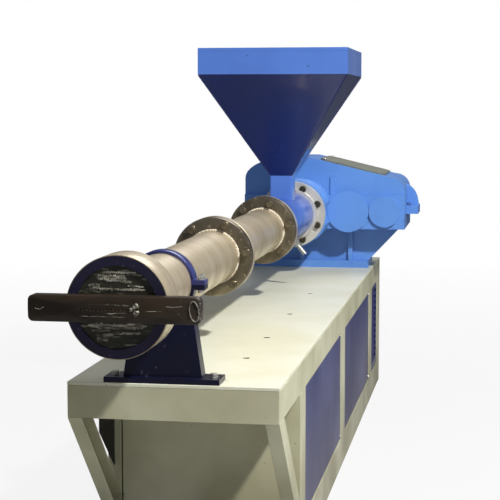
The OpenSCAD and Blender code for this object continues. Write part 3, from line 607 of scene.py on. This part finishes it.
for number, first, circle_r in ((1, 8.0, 0.131), (2, 14.0, 0.127)):
    low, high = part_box("flange_%d_front" % number)
    front = low[1] - extra_t
    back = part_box("flange_%d_rear" % number)[1][1]
    thick = high[1] - front
    edge = (high[0] - low[0]) / 2
    disc_rows = [(tube_r, 0, 0), (edge - front_round, 0, 0), (edge - front_break, front_break, 0),
                 (edge, front_round, 0), (edge, thick - rear_break, 0), (edge - rear_break, thick, 0),
                 (tube_r, thick, 0), (tube_r, 0, 0)]
    disc_grid = turned(disc_rows, (axis_x, front, axis_z), (0, 1, 0), 128)[0]
    piece("flange_%d_disc" % number, disc_grid, flange_dark, sharp=30.0,
          instead="flange_%d_front" % number)
    places = round_places(axis_x, front, axis_z, circle_r, 6, first)
    piece("flange_%d_bolts" % number, turned(hex_bolt(0.026, 0.016), places, (0, -1, 0)),
          flange_bolt)
    places = round_places(axis_x, back, axis_z, circle_r, 6, first)
    piece("flange_%d_nuts" % number, turned(hex_bolt(0.024, 0.014, stud=0.006), places, (0, 1, 0)),
          flange_bolt)
    for end_name, y in (("front", front), ("back", back)):
        path = round_places(axis_x, y, axis_z, weld_r, 240, 0.0)
        piece("flange_%d_weld_%s" % (number, end_name), bead(path, 0.0044, closed=True, pitch=0.013),
              weld_bright)


# Feed section, screw and cooling nipple: a thick tube in blue enamel, bored for the
# screw and open to the hopper above, with one plated hose nipple screwed in at its
# lower right.
feed_blue = finish("feed_blue", tint(66, 104, 196), tint(52, 84, 164), tint(36, 36, 60), 0.35,
                   patch=5.0, fine=45.0, amount=0.7, bump=0.2, coat=0.3)
screw_steel = finish("screw_steel", tint(196, 196, 196), tint(150, 150, 150), tint(70, 64, 58), 0.25,
                     metal=0.95, patch=14.0, fine=90.0)
wear(feed_blue, "feed_section")
wear(screw_steel, "feed_screw", "input_shaft")
wear(plated, "water_nipple")


# Hopper: folded sheet in blue enamel. A plain square neck stands on the feed section,
# the four slightly bowed cone walls are welded along their corners, and the upright rim
# has a folded lip all round.
hopper_blue = finish("hopper_blue", tint(82, 121, 198), tint(66, 101, 176), tint(40, 44, 70), 0.33,
                     patch=2.4, fine=40.0, amount=0.6, speck_from=0.7, bump=0.05, coat=0.3)
# The cone walls and their welds take a darker navy copy of the hopper blue as painted shade on their
# down-facing walls.
hopper_navy = finish("hopper_navy", tint(29, 43, 102), tint(23, 35, 82), tint(20, 22, 40), 0.33,
                     patch=2.4, fine=40.0, amount=0.6, speck_from=0.7, bump=0.05, coat=0.4)
wear(hopper_blue, "hopper_rim", "hopper_lip")
soften(0.0015, "hopper_lip")
cone_low, cone_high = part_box("hopper_cone")
hopper_y = (cone_low[1] + cone_high[1]) / 2
cone_half = (cone_high[0] - cone_low[0]) / 2
throat = 0.056
cone_t = 0.004
cone_bow = 0.004
neck_t = 0.010
fold_r = 0.006


def funnel(levels, bow=0.0):
    """Square sheet funnel: a rounded loop for each (half width, height, v). Each wall is bowed
    inwards by bow * (1 - u^2) * sin(pi v), u across the wall and v up it."""
    rings = []
    for width, z, v in levels:
        loop = rounded(width, width, fold_r, 16, 16)
        wide = np.abs(loop) >= width - 0.0001
        u = loop[:, ::-1] / width
        loop = loop - np.sign(loop) * wide * bow * (1 - u ** 2) * np.sin(np.pi * v)
        rings.append(np.stack([axis_x + loop[:, 0], hopper_y + loop[:, 1], np.full(len(loop), z)], 1))
    return np.array(rings)


rise = np.linspace(0, 1, 9)
wall = throat + (cone_half - throat) * rise
tall = cone_low[2] + (cone_high[2] - cone_low[2]) * rise
levels = list(zip(wall, tall, rise)) + list(zip(wall[::-1] - cone_t, tall[::-1], rise[::-1]))
levels.append((wall[0], tall[0], 0.0))
piece("cone_sheets", funnel(levels, cone_bow), hopper_navy, instead="hopper_cone")

# The neck reaches down to this share of the feed section's radius above its axis.
saddle = 0.8
feed_low, feed_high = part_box("feed_section")
seat = axis_z + (feed_high[0] - feed_low[0]) / 2 * saddle
bore = throat - neck_t
levels = [(throat, seat, 0), (throat, cone_low[2], 0), (bore, cone_low[2], 0), (bore, seat, 0),
          (throat, seat, 0)]
piece("neck_tube", funnel(levels), hopper_blue, instead="hopper_neck")
seam_half = cone_half - 0.001
seam_foot = cone_low[2] + 0.004
seam_head = cone_high[2] - 0.002
seams = []
for x in (-1, 1):
    for y in (-1, 1):
        foot_end = (axis_x + x * throat, hopper_y + y * throat, seam_foot)
        head_end = (axis_x + x * seam_half, hopper_y + y * seam_half, seam_head)
        seams.append(bead(straight(foot_end, head_end, 0.003), 0.0028, lean=(0, 0, 1)))
piece("cone_corner_welds", seams, hopper_navy)


# Gearbox: iron casting split level with the shafts, in blue machine enamel over a
# sand-cast skin. Caps close the bearings, a screwed grey plate covers the inspection
# opening, a drilled web lifts the casing and eight bolts hold its light grey flange.
gear_blue = finish("gear_blue", tint(94, 143, 214), tint(76, 122, 194), tint(44, 56, 92), 0.4,
                   patch=3.5, fine=55.0, amount=0.6, speck_from=0.72, bump=0.3, coat=0.25)
light_steel = finish("light_steel", tint(212, 210, 204), tint(180, 176, 168), tint(110, 104, 96), 0.36,
                     metal=0.4, patch=9.0, fine=80.0, stretch=(1.0, 4.0, 1.0), bump=0.08)
cover_grey = finish("cover_grey", tint(120, 122, 108), tint(96, 98, 88), tint(60, 58, 50), 0.45,
                    patch=6.0, fine=60.0)
bolt_dark = finish("bolt_dark", tint(76, 70, 58), tint(50, 46, 38), tint(140, 130, 108), 0.4,
                   metal=0.7, patch=30.0, fine=120.0)
wear(gear_blue, "gearbox_lower", "gearbox_upper", "bearing_caps")
wear(light_steel, "gearbox_flange")
wear(cover_grey, "inspection_cover")
soften(0.005, "gearbox_lower", "gearbox_upper")
soften(0.002, "bearing_caps", "inspection_cover", "gearbox_flange")

# The web's outline is x = web_x + web_w cos^0.8, z = web_foot + web_h sin^0.8 over a quarter
# turn and back along its two straight sides, millimetres from the table's corner.
web_x = 824.0
web_foot = 323.0
web_w = 128.0
web_h = 150.0
web_front = 3610.0
web_back = 3646.0
web_edge = 4.0
eye_middle = np.array((897.0, 345.0))
eye_r = 13.0
eye_edge = 2.0
angle = np.linspace(0, np.pi / 2, 25)
side = np.linspace(web_foot + web_h - 12, web_foot, 12)
base = np.linspace(web_x + 10, web_x + web_w - 10, 12)
web = np.concatenate([np.stack([web_x + web_w * np.cos(angle) ** 0.8,
                                web_foot + web_h * np.sin(angle) ** 0.8], 1),
                      np.stack([np.full_like(side, web_x), side], 1),
                      np.stack([base, np.full_like(base, web_foot)], 1)])
away = web - eye_middle
away /= np.linalg.norm(away, axis=1)[:, None]
eye_rim = eye_middle + away * eye_r
eye_lip = eye_middle + away * (eye_r + eye_edge)
web_lip = web - away * web_edge
web_rings = [(eye_rim, web_front + eye_edge), (eye_lip, web_front), (web_lip, web_front),
             (web, web_front + web_edge), (web, web_back - web_edge), (web_lip, web_back),
             (eye_lip, web_back), (eye_rim, web_back - eye_edge), (eye_rim, web_front + eye_edge)]
web_grid = np.array([np.stack([ring[:, 0], np.full(len(ring), y), ring[:, 1]], 1) for ring, y in web_rings])
piece("lifting_web", corner + web_grid / 1000.0, gear_blue)
low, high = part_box("inspection_cover")
cover_w = high[0] - low[0]
cover_h = high[2] - low[2]
screw_in = 0.02
screws = [(low[0] + u * cover_w, y, high[2] - u * cover_h) for u in (0.07, 0.5, 0.93)
          for y in (low[1] + screw_in, high[1] - screw_in)]
piece("cover_screws", turned(pan_head(0.008, 0.005), screws, (cover_h, 0.0, cover_w)), plated)
spigot_l = 0.030
bolt_circle = 0.1445
flange_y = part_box("gearbox_flange")[0][1] + spigot_l
places = round_places(axis_x, flange_y, axis_z, bolt_circle, 8, 22.5)
piece("gear_flange_bolts", turned(hex_bolt(0.030, 0.016), places, (0, -1, 0)), bolt_dark)


# Studio: pale floor and white surroundings. One small strong lamp high at the front
# right casts the photo's shadows on the table; broad weak ones stand left and right,
# and a broad one above the rear lights the plate and the casing from behind.
pale = bpy.data.materials.new("studio_floor")
pale.use_nodes = True
tree = pale.node_tree
paint = tree.nodes["Principled BSDF"]
paint.inputs["Base Color"].default_value = (0.42, 0.42, 0.41, 1.0)
paint.inputs["Roughness"].default_value = 0.8
glow = tree.nodes.new("ShaderNodeEmission")
glow.inputs["Color"].default_value = (1.0, 1.0, 1.0, 1.0)
path_kind = tree.nodes.new("ShaderNodeLightPath")
ground = tree.nodes.new("ShaderNodeTexCoord")
length = tree.nodes.new("ShaderNodeVectorMath")
length.operation = "LENGTH"
fade = tree.nodes.new("ShaderNodeMapRange")
fade.inputs["From Min"].default_value = 2.5
fade.inputs["From Max"].default_value = 9.0
fade.inputs["To Min"].default_value = 0.88
fade.inputs["To Max"].default_value = 1.0
share = tree.nodes.new("ShaderNodeMath")
share.operation = "MULTIPLY"
mixed = tree.nodes.new("ShaderNodeMixShader")
tree.links.new(ground.outputs["Object"], length.inputs[0])
tree.links.new(length.outputs["Value"], fade.inputs["Value"])
tree.links.new(fade.outputs["Result"], share.inputs[1])
tree.links.new(path_kind.outputs["Is Camera Ray"], share.inputs[0])
tree.links.new(share.outputs["Value"], mixed.inputs[0])
tree.links.new(paint.outputs["BSDF"], mixed.inputs[1])
tree.links.new(glow.outputs["Emission"], mixed.inputs[2])
tree.links.new(mixed.outputs["Shader"], tree.nodes["Material Output"].inputs["Surface"])
floor_half = 60.0
reach = np.linspace(-floor_half, floor_half, 9)
floor_x, floor_y = np.meshgrid(reach, reach, indexing="ij")
floor_grid = np.stack([floor_x, floor_y, np.zeros_like(floor_x)], -1)
floor_mesh = bpy.data.meshes.new("floor")
cells = np.arange(floor_x.size).reshape(floor_x.shape)
floor_mesh.from_pydata(floor_grid.reshape(-1, 3).tolist(), [], np.stack(
    [cells[:-1, :-1], cells[1:, :-1], cells[1:, 1:], cells[:-1, 1:]], -1).reshape(-1, 4).tolist())
floor_mesh.materials.append(pale)
floor = bpy.data.objects.new("floor", floor_mesh)
bpy.context.scene.collection.objects.link(floor)

world = bpy.data.worlds.new("studio")
bpy.context.scene.world = world
world.use_nodes = True
tree = world.node_tree
around = tree.nodes["Background"]
around.inputs["Color"].default_value = (0.86, 0.90, 1.0, 1.0)
around.inputs["Strength"].default_value = 0.17
seen = tree.nodes.new("ShaderNodeBackground")
seen.inputs["Color"].default_value = (1.0, 1.0, 1.0, 1.0)
path_kind = tree.nodes.new("ShaderNodeLightPath")
mixed = tree.nodes.new("ShaderNodeMixShader")
tree.links.new(path_kind.outputs["Is Camera Ray"], mixed.inputs[0])
tree.links.new(around.outputs["Background"], mixed.inputs[1])
tree.links.new(seen.outputs["Background"], mixed.inputs[2])
tree.links.new(mixed.outputs["Shader"], tree.nodes["World Output"].inputs["Surface"])


def lamp(name, place, target, size, power):
    """Square area lamp of that size in metres and power in watts, turned to face the target."""
    data = bpy.data.lights.new(name, "AREA")
    data.size = size
    data.energy = power
    made = bpy.data.objects.new(name, data)
    forward = np.asarray(target, float) - np.asarray(place, float)
    forward /= np.linalg.norm(forward)
    right = np.cross(forward, (0.0, 0.0, 1.0))
    right /= np.linalg.norm(right)
    turn = np.eye(4)
    turn[:3, 0] = right
    turn[:3, 1] = np.cross(right, forward)
    turn[:3, 2] = -forward
    turn[:3, 3] = place
    made.matrix_world = Matrix(turn.tolist())
    bpy.context.scene.collection.objects.link(made)


lamp("key", (2.9, -3.1, 5.0), (-0.1, 0.2, 1.0), 0.3, 460.0)
lamp("left", (-3.2, -1.6, 3.6), (0.0, 0.3, 0.8), 3.0, 22.0)
lamp("right", (4.8, -0.2, 3.0), (0.0, 0.3, 0.7), 2.6, 34.0)
lamp("back", (0.6, 3.4, 4.6), (0.0, 1.6, 0.8), 2.6, 80.0)

view = bpy.data.cameras.new("camera")
view.sensor_width = 36.0
view.lens = 104.4
view.clip_end = 100.0
# Columns: the camera's right, up and backward axes and its place, from vanishing points.
eye = bpy.data.objects.new("camera", view)
eye.matrix_world = Matrix((
    (0.9863, -0.0162, 0.1644, corner[0] + 1.357),
    (0.1652, 0.0968, -0.9815, corner[1] - 4.495),
    (0.0, 0.9952, 0.0981, corner[2] + 0.889),
    (0.0, 0.0, 0.0, 1.0)))
bpy.context.scene.collection.objects.link(eye)
bpy.context.scene.camera = eye
bpy.context.scene.view_settings.view_transform = "Standard"
